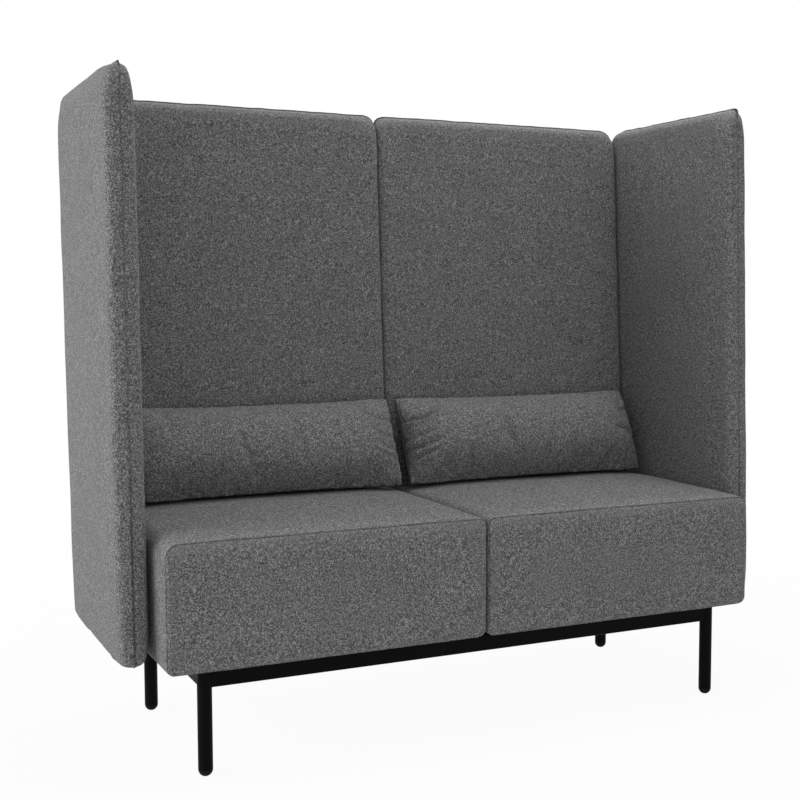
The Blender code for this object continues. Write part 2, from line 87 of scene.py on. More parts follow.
# the nodes of a material or of the world
class Net:
    def __init__(self, tree):
        self.tree = tree

    # any node: its type, then its settings, then values or links for its sockets
    def node(self, kind, settings=None, values=None, output=0):
        made = self.tree.nodes.new(kind)
        for key, value in (settings or {}).items():
            if key == "stops":
                while len(made.color_ramp.elements) < len(value):
                    made.color_ramp.elements.new(0.5)
                for stop, (place, tone) in zip(made.color_ramp.elements, value):
                    stop.position = place
                    stop.color = tone
            else:
                setattr(made, key, value)
        self.plug(made, values)
        return Wire(self, made.outputs[output])

    def plug(self, made, values):
        for key, value in (values or {}).items():
            if isinstance(value, Wire):
                self.tree.links.new(value.socket, made.inputs[key])
            else:
                made.inputs[key].default_value = value

    # 1 for the rays that show the backdrop: straight to the camera, off metal or through glass
    def backdropRays(self):
        rays = self.node("ShaderNodeLightPath", output="Is Camera Ray")
        return rays | rays.output("Is Glossy Ray") | rays.output("Is Transmission Ray")


class Finish(Net):
    def __init__(self, name):
        self.material = bpy.data.materials.new(name)
        self.material.use_nodes = True
        super().__init__(self.material.node_tree)
        self.shader = self.tree.nodes["Principled BSDF"]

    # sockets of the Principled shader, with underscores for spaces
    def shade(self, **values):
        self.plug(self.shader, {key.replace("_", " "): value for key, value in values.items()})

    def place(self):
        return self.node("ShaderNodeTexCoord", output="Object")

    def attribute(self, name):
        return self.node("ShaderNodeAttribute", {"attribute_name": name}, output=2)  # its plain value

    def noise(self, place, scale, detail, roughness):
        values = {"Vector": place, "Scale": scale, "Detail": detail, "Roughness": roughness}
        return self.node("ShaderNodeTexNoise", None, values)

    def remap(self, value, low, high, start=0.0, end=1.0):
        values = {0: value, 1: low, 2: high, 3: start, 4: end}
        return self.node("ShaderNodeMapRange", {"clamp": True}, values)

    def tint(self, factor, first, second):
        return self.node("ShaderNodeMix", {"data_type": "RGBA"}, {0: factor, 6: first, 7: second}, 2)

    def bump(self, height, strength, distance, below=None):
        values = {"Height": height, "Strength": strength, "Distance": distance}
        if below:
            values["Normal"] = below
        return self.node("ShaderNodeBump", None, values)


def grey(value):
    return (value, value, value, 1.0)


# a noise is its scale, detail and roughness, and a range the noise from and to, then the value from and to

# heathered wool cloth: dark and pale yarns felted together, a faint plain weave, soft sheen
# the seam tone and its share paint shade into seams, grooves and folds
woolLook = {"dark": 0.036, "mid": 0.142, "pale": 0.430, "stops": (0.395, 0.50, 0.62), "cushionPaintedLight": 1.08,
            "tuft": (150, 1.0, 0.5), "blotch": (330, 2.0, 0.55), "yarn": (640, 2.0, 0.6),
            "fibre": (1700, 1.0, 0.5), "cloud": (9.0, 3.0, 0.5),
            "tuftShare": 0.09, "blotchShare": 0.42, "yarnShare": 0.41, "fibreShare": 0.08,
            "brush": 0.62, "brushGain": 1.08, "noiseMean": 0.5, "cloudShade": (0.3, 0.7, 0.0, 0.10),
            "highlightYarn": (0.35, 0.65), "highlightShare": 0.30, "seamTone": 0.012, "seamShade": 0.92,
            "napStrength": 0.55, "napDepth": 0.0016, "weave": 2500.0, "weaveRise": 0.25, "fibreRise": 0.6,
            "threadStrength": 0.35, "threadDepth": 0.0006, "roughness": (0.3, 0.7, 0.86, 0.98),
            "sheen": 0.12, "sheenRoughness": 0.45, "sheenTint": 0.8, "specular": 0.22}


# a lift above 1 paints the whole cloth lighter: painted light
def makeWool(name, paintedLift=1.0):
    wool = Finish(name)
    look = woolLook
    dark, mid, pale = (grey(look[key] * paintedLift) for key in ("dark", "mid", "pale"))
    place = wool.place()
    brushed = wool.node("ShaderNodeMapping", None, {"Vector": place, "Scale": (1.0, look["brush"], 1.0)})
    mixed = []
    for lay in (place, brushed):
        tuft = wool.noise(lay, *look["tuft"])
        blotch = wool.noise(lay, *look["blotch"])
        yarn = wool.noise(lay, *look["yarn"])
        fibre = wool.noise(lay, *look["fibre"])
        mixed.append(tuft * look["tuftShare"] + blotch * look["blotchShare"]
                     + yarn * look["yarnShare"] + fibre * look["fibreShare"])
    # faces that lie flat show the brushed cloth, with a little more contrast
    upright, lying = mixed
    lying = lying * look["brushGain"] - look["noiseMean"] * (look["brushGain"] - 1)
    melange = upright + wool.attribute("flat") * (lying - upright)
    stops = list(zip(look["stops"], (dark, mid, pale)))
    tone = wool.node("ShaderNodeValToRGB", {"stops": stops}, {0: melange})
    cloud = wool.noise(place, *look["cloud"])
    tone = wool.tint(wool.remap(cloud, *look["cloudShade"]), tone, dark)
    # painted highlight: pale yarn shows along the top edges, where the rounded cloth faces the light
    highlighted = wool.attribute("rub") * wool.remap(yarn, *look["highlightYarn"]) * look["highlightShare"]
    tone = wool.tint(highlighted, tone, pale)
    # painted shade: the seam attribute tints the cloth towards near black in the seam grooves, under the
    # welts, along the cushion seams and in the cushion folds
    seam = wool.remap(wool.attribute("seam"), 0.0, 1.0, 0.0, look["seamShade"])
    tone = wool.tint(seam, tone, grey(look["seamTone"]))
    # plain weave from crossed waves along the three axes
    axes = wool.node("ShaderNodeSeparateXYZ", None, {0: place})
    waves = [wool.node("ShaderNodeMath", {"operation": "SINE"}, {0: axes.output(axis) * look["weave"]})
             for axis in range(3)]
    weave = waves[0] * waves[1] + waves[1] * waves[2] + waves[2] * waves[0]
    threads = weave * look["weaveRise"] + fibre * look["fibreRise"]
    nap = wool.bump(melange, look["napStrength"], look["napDepth"])
    nap = wool.bump(threads, look["threadStrength"], look["threadDepth"], nap)
    wool.shade(Base_Color=tone, Roughness=wool.remap(yarn, *look["roughness"]), Normal=nap)
    wool.shade(Sheen_Weight=look["sheen"], Sheen_Roughness=look["sheenRoughness"])
    wool.shade(Sheen_Tint=grey(look["sheenTint"]), Specular_IOR_Level=look["specular"])
    return wool.material


# black coat with a fine orange-peel skin and faint dust
coatLook = {"peel": (900.0, 2.0, 0.5), "peelStrength": 0.25, "peelDepth": 0.0004, "dust": (35.0, 4.0, 0.6),
            "dustShade": (0.45, 0.75, 0.0, 0.5), "dustTone": 1.9, "dustRoughness": (0.3, 0.7),
            "smoother": 0.06, "rougher": 0.10, "specular": 0.05}


def makeBlackCoat(name, tone, roughness):
    coat = Finish(name)
    look = coatLook
    place = coat.place()
    peel = coat.noise(place, *look["peel"])
    dust = coat.noise(place, *look["dust"])
    colour = coat.tint(coat.remap(dust, *look["dustShade"]), grey(tone), grey(tone * look["dustTone"]))
    roughRange = (roughness - look["smoother"], roughness + look["rougher"])
    coat.shade(Base_Color=colour, Roughness=coat.remap(dust, *look["dustRoughness"], *roughRange))
    coat.shade(Normal=coat.bump(peel, look["peelStrength"], look["peelDepth"]))
    coat.shade(Specular_IOR_Level=look["specular"])
    return coat.material


# birch plywood: long grain, small pores
plyLook = {"stretch": (1.0, 14.0, 14.0), "grain": (9.0, 5.0, 0.6), "pores": (60.0, 2.0, 0.5),
           "darkWood": (0.52, 0.36, 0.20, 1.0), "paleWood": (0.66, 0.49, 0.30, 1.0),
           "poreTone": (0.30, 0.19, 0.10, 1.0), "grainShade": (0.35, 0.65),
           "poreShade": (0.58, 0.72, 0.0, 0.35), "roughness": (0.3, 0.7, 0.55, 0.75),
           "grainStrength": 0.2, "grainDepth": 0.0006}


def makePlywood(name):
    ply = Finish(name)
    look = plyLook
    along = ply.node("ShaderNodeMapping", None, {"Vector": ply.place(), "Scale": look["stretch"]})
    grain = ply.noise(along, *look["grain"])
    pores = ply.noise(along, *look["pores"])
    colour = ply.tint(ply.remap(grain, *look["grainShade"]), look["darkWood"], look["paleWood"])
    colour = ply.tint(ply.remap(pores, *look["poreShade"]), colour, look["poreTone"])
    ply.shade(Base_Color=colour, Roughness=ply.remap(pores, *look["roughness"]))
    ply.shade(Normal=ply.bump(grain, look["grainStrength"], look["grainDepth"]))
    return ply.material


wool = makeWool("heathered wool")
# the cushions get a copy of the same wool, painted lighter
litCushionWool = makeWool("heathered wool, cushions", woolLook["cushionPaintedLight"])
powderCoat = makeBlackCoat("black powder coat", tone=0.0018, roughness=0.50)
blackZinc = makeBlackCoat("black zinc", tone=0.020, roughness=0.32)
glidePlastic = makeBlackCoat("black glide plastic", tone=0.010, roughness=0.58)
plywood = makePlywood("birch plywood")
nodeFinish = (("rail_", powderCoat), ("leg_", powderCoat), ("wing_bracket", powderCoat),
              ("back_bracket", powderCoat), ("seat_screw", blackZinc), ("wing_bolt", blackZinc),
              ("glide_", glidePlastic), ("seat_board", plywood), ("wing_board", plywood),
              ("back_board", plywood))
for name, node in nodes.items():
    for start, finish in nodeFinish:
        if name.startswith(start):
            node.data.materials.clear()
            node.data.materials.append(finish)
print("finishes made")


atSide = 0.499  # share of a block's size from which a vertex lies at its side
weldGap = 0.00005
tiny = 0.0001
softenLevels = 1
# painted shade in the seam grooves and along the cushion seams
seamPaintedShade = {"line": 0.72, "beside": 0.36}  # how dark a groove's line and the cloth beside it are


def everything(bm):
    return bm.verts[:] + bm.edges[:] + bm.faces[:]


def makeBlock(size):
    bm = bmesh.new()
    bmesh.ops.create_cube(bm, size=1.0)
    bmesh.ops.scale(bm, vec=size, verts=bm.verts)
    return bm


# edges of a block that lie at the given ends: axis to -1 or 1
def edgesAt(bm, size, ends):
    return [e for e in bm.edges
            if all(v.co[axis] * end > atSide * size[axis] for v in e.verts for axis, end in ends.items())]


def roundEdges(bm, chosen, radius, segments):
    bmesh.ops.bevel(bm, geom=chosen, offset=radius, affect="EDGES", segments=segments,
                    profile=0.5, material=-1)


def cutAcross(bm, axis, places):
    normal = Vector((0, 0, 0))
    normal[axis] = 1.0
    for place in places:
        bmesh.ops.bisect_plane(bm, geom=everything(bm), plane_co=normal * place, plane_no=normal)


def evenPlaces(length, pitch):
    count = max(1, round(length / pitch))
    return [length * k / count - length / 2 for k in range(1, count)]


def weld(bm):
    bmesh.ops.remove_doubles(bm, verts=bm.verts, dist=weldGap)
    bm.normal_update()


def ripple(point, size, seed):
    return noise.noise(Vector((point.x / size + seed, point.y / size, point.z / size)))


# 1 in the middle of a face, 0 at its edge
def swellAt(share, power, root=1.0):
    return max(0.0, 1 - abs(share) ** power) ** root


def finishPiece(bm, name, finish, node, body):
    mesh = bpy.data.meshes.new(name)
    bmesh.ops.recalc_face_normals(bm, faces=bm.faces)
    for face in bm.faces:
        face.smooth = True
    bm.to_mesh(mesh)
    bm.free()
    piece = bpy.data.objects.new(name, mesh)
    bpy.context.scene.collection.objects.link(piece)
    mesh.materials.append(finish)
    soften = piece.modifiers.new("soften", "SUBSURF")
    soften.levels = softenLevels
    soften.render_levels = softenLevels
    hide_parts(node)
    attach(piece, body)


# upright panels: two cloth faces over foam, sewn together along the middle of the edge. The seam stands up
# as a thin welt along the top and sinks into a groove along the other edges, and both are painted dark with
# shade
panelLook = {"thick": 0.0570, "insetWide": 0.0040, "insetTall": 0.0062, "edgeRadius": 0.0110,
             "edgeSegments": 5, "cornerPitch": 0.005, "cornerSegments": 6, "rimAngle": 0.8,
             "pitch": 0.012, "edgeCut": 0.0100, "faceFrom": 0.9, "crown": 0.0028, "crownWide": 4,
             "crownTall": 6, "barrel": 0.0062, "wave": 0.0013, "waveSize": 0.11,
             "scallopSize": 0.021, "scallopSeed": 3, "scallopSide": 0.3, "scallopTop": 0.2,
             "scallopLow": 0.9, "scallopFace": 0.8,
             "seamHalf": 0.0013, "seamEdge": 0.0045, "seamDepth": 0.0036, "topTurn": 1.5,
             "weltBeside": 0.75, "gape": 0.4, "gapeFrom": 0.1, "gapeOver": 0.2,
             "pucker": 0.0006, "puckerMean": 0.5, "tugSize": 0.017, "tugSeed": 7,
             "nubReach": 0.009, "nubBeside": 0.45, "nubClear": 0.001, "highlightFrom": 0.93,
             "pinchReach": 0.080, "dome": 0.013, "domeDrop": 0.7}


# corners: (side across the panel, up or down) to the corner's radius, the height of its seam tip and how
# thin the seam draws it
def makePanel(width, height, seed, corners, welt, scallop):
    look = panelLook
    half = look["thick"] / 2
    wide, tall = width - 2 * look["insetWide"], height - 2 * look["insetTall"]
    size = (look["thick"], wide, tall)
    bm = makeBlock(size)
    tips = []
    for (ySide, zSide), (radius, nub, pinch) in corners.items():
        segments = max(look["cornerSegments"], round(radius / look["cornerPitch"]))
        roundEdges(bm, edgesAt(bm, size, {1: ySide, 2: zSide}), radius, segments)
        cut = radius * (1 - math.sqrt(0.5))
        tips.append((Vector((0, ySide * (wide / 2 - cut), zSide * (tall / 2 - cut))), nub))
    rim = [e for e in bm.edges
           if e.verts[0].co.x * e.verts[1].co.x > 0 and e.calc_face_angle(0) > look["rimAngle"]]
    roundEdges(bm, rim, look["edgeRadius"], look["edgeSegments"])
    cutAcross(bm, 1, evenPlaces(wide, look["pitch"]))
    cutAcross(bm, 2, evenPlaces(tall, look["pitch"]))
    for step in (look["edgeCut"], look["seamEdge"], look["seamHalf"]):
        cutAcross(bm, 0, (-step, step))
    cutAcross(bm, 0, (0.0,))
    weld(bm)
    seam = bm.verts.layers.float.new("seam")
    rub = bm.verts.layers.float.new("rub")
    moves = {}
    for v in bm.verts:
        across = abs(v.co.x)
        sideways = min(1.0, abs(v.co.y) / (wide / 2))
        upward = min(1.0, abs(v.co.z) / (tall / 2))
        up = v.normal.z
        shift = v.normal * (look["wave"] * ripple(v.co, look["waveSize"], seed))
        if across > half * look["faceFrom"]:
            swell = swellAt(sideways, look["crownWide"]) * swellAt(upward, look["crownTall"])
            shift += Vector((math.copysign(look["crown"] * swell, v.co.x), 0, 0))
        else:
            # the lower edge is the waviest, and there the waves reach the faces
            line = Vector((0, v.co.y, v.co.z))
            level = look["scallopSide"] + max(look["scallopTop"] * up, -look["scallopLow"] * up)
            waves = scallop * level * ripple(line, look["scallopSize"], seed + look["scallopSeed"])
            fall = swellAt(across / half, 2)
            shift += v.normal * (look["barrel"] * fall + waves * max(fall, -look["scallopFace"] * up))
        if across < look["seamEdge"] + tiny:
            nub = sum(rise * max(0.0, 1 - (v.co - tip).length / look["nubReach"]) for tip, rise in tips)
            onTop = min(1.0, look["topTurn"] * max(0.0, up))
            # the groove opens towards the floor, and its painted shade grows with it. The welt on top is
            # painted dark, as the shade under it
            lowness = min(1.0, max(0.0, -v.co.z / tall - look["gapeFrom"]) / look["gapeOver"])
            gape = (look["gape"] + (1 - look["gape"]) * lowness) * (1 - onTop)
            if across < tiny:
                v[seam] = max(seamPaintedShade["line"] * gape, onTop)
                groove = look["seamDepth"] * gape if nub < look["nubClear"] else 0.0
                shift += v.normal * (nub + welt * onTop - groove)
            elif across < look["seamHalf"] + tiny:
                v[seam] = max(seamPaintedShade["beside"] * gape, onTop)
                shift += v.normal * (look["nubBeside"] * nub + look["weltBeside"] * welt * onTop)
            tug = ripple(v.co, look["tugSize"], seed + look["tugSeed"])
            shift -= v.normal * look["pucker"] * (look["puckerMean"] + tug)
        # painted highlight along the top edge
        if v.co.z > 0:
            v[rub] = max(0.0, upward - look["highlightFrom"]) / (1 - look["highlightFrom"])
        moves[v] = shift
    for v, shift in moves.items():
        v.co += shift
        # the seam draws the corners thin
        corner = Vector((0, width / 2 - abs(v.co.y), height / 2 - abs(v.co.z)))
        near = max(0.0, 1 - corner.length / look["pinchReach"])
        pinch = corners[1 if v.co.y > 0 else -1, 1 if v.co.z > 0 else -1][-1]
        thin = pinch * near * near
        drop = look["domeDrop"] * look["dome"] * thin * min(1.0, abs(v.co.x) / half) ** 2
        v.co.x *= 1 - thin
        v.co.y -= math.copysign(drop, v.co.y)
        v.co.z -= math.copysign(drop, v.co.z)
    return bm


# the same places and slopes as the solids, in metres
uprights = {"low": 0.207, "high": 1.322, "seamHeight": 0.450, "backLean": 0.065, "wingLean": 0.035,
            "backFace": 0.1968, "wingFront": -0.2262, "cadThick": 0.058}
leanAngle = math.atan(uprights["backLean"])


def backFaceAt(z):
    return uprights["backFace"] + uprights["backLean"] * (z - uprights["seamHeight"])


def wingFrontAt(z):
    return uprights["wingFront"] + uprights["wingLean"] * (z - uprights["seamHeight"])


# side wings: the front corners end in a seam tip, the rear top one is the roundest
wingLook = {"corners": {(-1, 1): (0.014, 0.0055, 0.45), (1, 1): (0.045, 0.0, 0.40),
                        (-1, -1): (0.020, 0.0060, 0.28), (1, -1): (0.010, 0.0, 0.10)},
            "welt": 0.0052, "scallop": 0.0034, "seed": 3.0, "widthAt": 0.8, "fill": 0.9}


def makeWing(side, sign):
    look = wingLook
    low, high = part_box("wing_pad_" + side)
    bottom, top = uprights["low"], uprights["high"]
    rearStep = uprights["cadThick"] / math.cos(leanAngle)
    width = backFaceAt(look["widthAt"]) + rearStep - wingFrontAt(look["widthAt"])
    bm = makePanel(width, top - bottom, look["seed"] + sign, look["corners"], look["welt"], look["scallop"])
    middle = (low.x + high.x) / 2
    # the front and rear edges lean by different slopes
    for v in bm.verts:
        z = v.co.z + (top + bottom) / 2
        share = v.co.y / width + 0.5
        front = wingFrontAt(z)
        rear = backFaceAt(z) + rearStep
        v.co = Vector((middle + v.co.x, front + (rear - front) * share, z))
    finishPiece(bm, "wing_cover_" + side, wool, "wing_pad_" + side, "sofa")


# back panels
backLook = {"outerTop": 0.028, "innerTop": 0.024, "lowCorner": 0.026, "pinch": 0.45, "welt": 0.0062,
            "scallop": 0.0022, "seed": 11.0, "narrower": 0.0004, "fill": 0.9}


def makeBack(side, sign):
    look = backLook
    low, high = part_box("back_pad_" + side)
    bottom, top = uprights["low"], uprights["high"]
    # shorter by this, so that the upper corner of the leaning slab isn't too high
    tuck = uprights["cadThick"] / 2 * uprights["backLean"]
    width = high.x - low.x - look["narrower"]
    height = (top - bottom) / math.cos(leanAngle) - tuck
    radii = {(-sign, 1): look["outerTop"], (sign, 1): look["innerTop"],
             (-sign, -1): look["lowCorner"], (sign, -1): look["lowCorner"]}
    corners = {place: (radius, 0.0, look["pinch"]) for place, radius in radii.items()}
    bm = makePanel(width, height, look["seed"] + sign, corners, look["welt"], look["scallop"])
    turn = Matrix.Rotation(math.pi / 2, 3, "Z")  # local thickness to +Y, local width to -X
    tilt = Matrix.Rotation(-leanAngle, 3, "X")
    centreZ = (top + bottom) / 2 - tuck / 2
    centreY = backFaceAt(centreZ) + uprights["cadThick"] / 2 / math.cos(leanAngle)
    bmesh.ops.rotate(bm, verts=bm.verts, cent=(0, 0, 0), matrix=tilt @ turn)
    bmesh.ops.translate(bm, verts=bm.verts, vec=((low.x + high.x) / 2, centreY, centreZ))
    finishPiece(bm, "back_cover_" + side, wool, "back_pad_" + side, "sofa")


for side, sign in sides:
    makeWing(side, sign)
    makeBack(side, sign)
print("panels made")


# seat blocks: a front cloth with rounded corners, sewn to one long cloth that wraps over the top, the sides
# and the underside
seatLook = {"outerTop": 0.028, "innerTop": 0.016, "lowCorner": 0.018, "cornerSegments": 8,
            "rim": 0.0095, "rimSegments": 5, "pitch": 0.014, "fill": 0.9,
            "under": 0.0006, "backGap": 0.0042, "widen": 0.0022, "inward": 0.0010,
            "crown": 0.0108, "crownPower": 5, "bulge": 0.003, "bulgeTall": 3, "bulgeWide": 4,
            "facing": 0.5, "wave": 0.0012, "waveSize": 0.13, "waveSeed": 20.0, "highlightDeep": 0.03,
            "highlightTall": 0.025, "seamZ": 0.4495, "seamBack": 0.0035, "seamHalf": 0.0012,
            "seamDepth": 0.0018, "seamReach": 0.0055, "seamMargin": 1.1, "seamLine": 0.0003,
            "seamAside": 0.3, "topTurn": 1.6, "darkMean": 0.85, "darkTug": 0.5,
            "pucker": 0.0006, "puckerMean": 0.5, "tugSize": 0.016, "tugSeed": 31.0}


def makeSeat(side, sign):
    look = seatLook
    low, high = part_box("seat_pad_" + side)
    # the seam lies on the round between the front and the top
    seamDrop = look["rim"] - math.sqrt(look["rim"] ** 2 - (look["rim"] - look["seamBack"]) ** 2)
    bottom = low.z + look["under"]
    front = low.y + look["bulge"] / 2
    rearLow = backFaceAt(low.z) - look["backGap"]
    size = Vector((high.x - low.x + look["widen"], rearLow - front, look["seamZ"] + seamDrop - bottom))
    middle = (low.x + high.x) / 2 - sign * look["inward"]
    centre = Vector((middle, front + size.y / 2, bottom + size.z / 2))
    bm = makeBlock(size)
    for across, up, radius in ((sign, 1, look["outerTop"]), (-sign, 1, look["innerTop"]),
                               (sign, -1, look["lowCorner"]), (-sign, -1, look["lowCorner"])):
        roundEdges(bm, edgesAt(bm, size, {0: across, 2: up}), radius, look["cornerSegments"])
    for end in (-1, 1):
        roundEdges(bm, edgesAt(bm, size, {1: end}), look["rim"], look["rimSegments"])
    for axis in range(3):
        cutAcross(bm, axis, evenPlaces(size[axis], look["pitch"]))
    seamAt = look["seamBack"] - size.y / 2
    seamCuts = (-look["seamHalf"], 0.0, look["seamHalf"], look["seamReach"])
    cutAcross(bm, 1, [seamAt + step for step in seamCuts])
    weld(bm)
    seam = bm.verts.layers.float.new("seam")
    rub = bm.verts.layers.float.new("rub")
    flat = bm.verts.layers.float.new("flat")
    seamFrom, seamTo = -look["seamMargin"] * look["seamHalf"], look["seamMargin"] * look["seamReach"]
    moves = {}
    for v in bm.verts:
        up = v.normal.z
        # painted highlight along the front edge of the top
        fromFront, fromTop = v.co.y + size.y / 2, v.co.z - size.z / 2
        v[rub] = math.exp(-((fromFront / look["highlightDeep"]) ** 2 + (fromTop / look["highlightTall"]) ** 2))
        v[flat] = max(0.0, up) ** 2
        sideways, lengthwise, upward = (min(1.0, abs(v.co[axis]) / (size[axis] / 2)) for axis in range(3))
        shift = v.normal * (look["wave"] * ripple(v.co, look["waveSize"], look["waveSeed"] + sign))
        if v.co.z > 0:
            swell = swellAt(sideways, look["crownPower"]) * swellAt(lengthwise, look["crownPower"])
            shift += Vector((0, 0, look["crown"] * swell))
        bulge = look["bulge"] * swellAt(upward, look["bulgeTall"]) * swellAt(up, 2)
        bulge *= swellAt(min(sideways, lengthwise), look["bulgeWide"])
        if v.normal.y < -look["facing"]:
            shift += v.normal * bulge
        elif v.normal.x * sign > look["facing"]:
            shift += v.normal * (bulge / 2)
        step = v.co.y - seamAt
        if seamFrom < step < seamTo:
            tug = ripple(v.co, look["tugSize"], look["tugSeed"] + sign)
            shift -= v.normal * look["pucker"] * (look["puckerMean"] + tug)
            # painted shade in the seam's groove: darkest along the top, weaker down the sides, varied by
            # the tug
            onTop = min(1.0, look["topTurn"] * max(0.0, up))
            dark = look["seamAside"] + (1 - look["seamAside"]) * onTop
            dark *= look["darkMean"] + look["darkTug"] * tug
            if abs(step) < look["seamLine"]:
                v[seam] = seamPaintedShade["line"] * dark
                shift -= v.normal * look["seamDepth"]
            elif abs(step) < -seamFrom:
                v[seam] = seamPaintedShade["beside"] * dark
        moves[v] = shift
    # the rear follows the lean of the backs
    for v, shift in moves.items():
        v.co += shift + centre
        share = (v.co.y - low.y) / (rearLow - low.y)
        v.co.y += max(0.0, share) * (backFaceAt(v.co.z) - backFaceAt(low.z))
    finishPiece(bm, "seat_cover_" + side, wool, "seat_pad_" + side, "sofa")


for side, sign in sides:
    makeSeat(side, sign)
print("seats made")


# lumbar cushions: two cloth sheets sewn at the edge over a soft fill. The cloth is cut a little larger than
# the fill and blown up by a simulation, and the folds are pressed in after it
cushionLook = {"gridWide": 150, "gridTall": 56, "onRim": 0.9999, "seamBand": 0.004, "seamPaintedShade": 0.6,
               "tilt": 26.0, "halfTall": 0.108, "halfThick": 0.0515, "acrossCurve": (10, 0.5),
               "upCurve": (2.3, 0.6), "drawIn": 0.006, "endDrawIn": 0.006, "cornerCut": 0.003,
               "cornerPower": 8, "inward": 0.0015, "reach": 0.010, "endFade": 6, "shortest": 1e-6,
               "foldShade": 55.0, "seatClear": 0.0004, "backClear": 0.0036, "fill": 0.8}
clothFrames = 20
clothLook = {"quality": 6, "mass": 0.25, "air_damping": 2.0, "tension_stiffness": 30.0,
             "compression_stiffness": 30.0, "shear_stiffness": 8.0, "bending_stiffness": 0.1,
             "vertex_group_mass": "seam", "shrink_min": -0.028, "use_pressure": True,
             "uniform_pressure_force": 4.0}


def blowUp(bm, name, pinned):
    mesh = bpy.data.meshes.new(name + "_sheet")
    bm.to_mesh(mesh)
    sheet = bpy.data.objects.new(name + "_sheet", mesh)
    scene = bpy.context.scene
    scene.collection.objects.link(sheet)
    held = sheet.vertex_groups.new(name="seam")
    held.add(pinned, 1.0, "REPLACE")
    cloth = sheet.modifiers.new("fill", "CLOTH")
    for key, value in clothLook.items():
        setattr(cloth.settings, key, value)
    cloth.settings.effector_weights.gravity = 0.0
    cloth.collision_settings.use_collision = False
    cloth.point_cache.frame_start = 1
    cloth.point_cache.frame_end = clothFrames
    for number in range(1, clothFrames + 1):
        scene.frame_set(number)
    shaped = sheet.evaluated_get(bpy.context.evaluated_depsgraph_get())
    places = [v.co.copy() for v in shaped.data.vertices]
    scene.frame_set(1)
    bpy.data.objects.remove(sheet)
    return places


# folds in the cloth, in the cushion's own plane: start, end, bend, depth, half width. The lists are the
# inner end, the outer end and the face of a cushion
folds = {"inner": (((0.300, 0.040), (0.222, 0.072), 0.012, 0.0090, 0.0044),
                   ((0.304, -0.004), (0.240, 0.016), 0.006, 0.0060, 0.0042),
                   ((0.304, -0.030), (0.238, -0.014), 0.005, 0.0080, 0.0042),
                   ((0.300, -0.056), (0.250, -0.044), -0.004, 0.0060, 0.0042)),
         "outer": (((-0.303, -0.030), (-0.236, -0.010), 0.006, 0.0045, 0.0055),
                   ((-0.303, 0.050), (-0.250, 0.032), -0.005, 0.0035, 0.0055)),
         "face": (((0.050, -0.030), (0.066, 0.034), 0.004, 0.0034, 0.0080),
                  ((-0.120, -0.080), (-0.112, -0.020), 0.004, 0.0036, 0.0070),
                  ((-0.160, -0.078), (-0.158, -0.040), 0.003, 0.0034, 0.0060),
                  ((0.170, -0.080), (0.160, -0.030), -0.004, 0.0036, 0.0065))}
foldLook = {"leftGain": 0.5, "overrun": 0.1, "deepest": 0.75, "fadeOver": 2.4, "ridge": 0.55,
            "ridgeAt": 1.7, "gather": 0.0055, "gatherReach": 0.055, "gatherSize": 0.012,
            "gatherStretch": 0.15, "gatherSeed": 40.0, "pucker": 0.0018, "puckerReach": 0.030,
            "puckerSize": 0.011, "puckerSeed": 50.0}


# how far the cloth moves out or in at a point, and how deep the folds are there, for the painted shade in
# their valleys
def creases(point, halfWide, halfTall, sign):
    look = foldLook
    depth, shade = 0.0, 0.0
    gain = 1.0 if sign > 0 else look["leftGain"]
    here = Vector((-sign * point.x, point.y))  # inner end on the positive side
    for group in folds.values():
        for start, end, bend, fold, width in group:
            start, end = Vector(start), Vector(end)
            along = end - start
            share = (here - start).dot(along) / along.length_squared
            if -look["overrun"] < share < 1 + look["overrun"]:
                aside = Vector((-along.y, along.x)).normalized()
                off = (here - start).dot(aside) - bend * 4 * share * (1 - share)
                fade = max(0.0, 1 - abs(2 * share - look["deepest"]) ** 3 / look["fadeOver"])
                valley = math.exp(-(off / width) ** 2)
                ridge = math.exp(-((off - look["ridgeAt"] * width) / width) ** 2)
                depth += gain * fold * fade * (look["ridge"] * ridge - valley)
                shade = max(shade, gain * fold * fade * valley)
    # gathers along the lower seam, fine puckers along all of them
    fromLow = (halfTall + point.y) / look["gatherReach"]
    drawn = Vector((point.x, 0, point.y * look["gatherStretch"]))
    gather = max(0.0, 1 - fromLow) * ripple(drawn, look["gatherSize"], look["gatherSeed"] + sign)
    fromEdge = min(halfTall - abs(point.y), halfWide - abs(point.x)) / look["puckerReach"]
    pucker = max(0.0, 1 - fromEdge) * ripple(point, look["puckerSize"], look["puckerSeed"] + sign)
    return depth + look["gather"] * gather + look["pucker"] * pucker, shade


# solidify leaves the rim's edges and faces in no fixed order, which would change the simulation each run
def sortRim(bm, middle):
    count = len(bm.verts)
    for parts in (bm.verts, bm.edges, bm.faces):
        parts.index_update()

    def rank(part):
        numbers = [v.index for v in part.verts]
        onFront = [v.co.z > middle for v in part.verts]
        if all(onFront) or not any(onFront):
            return part.index
        return count * (count + min(numbers)) + max(numbers)  # after both sheets

    bm.edges.sort(key=rank)
    bm.faces.sort(key=rank)


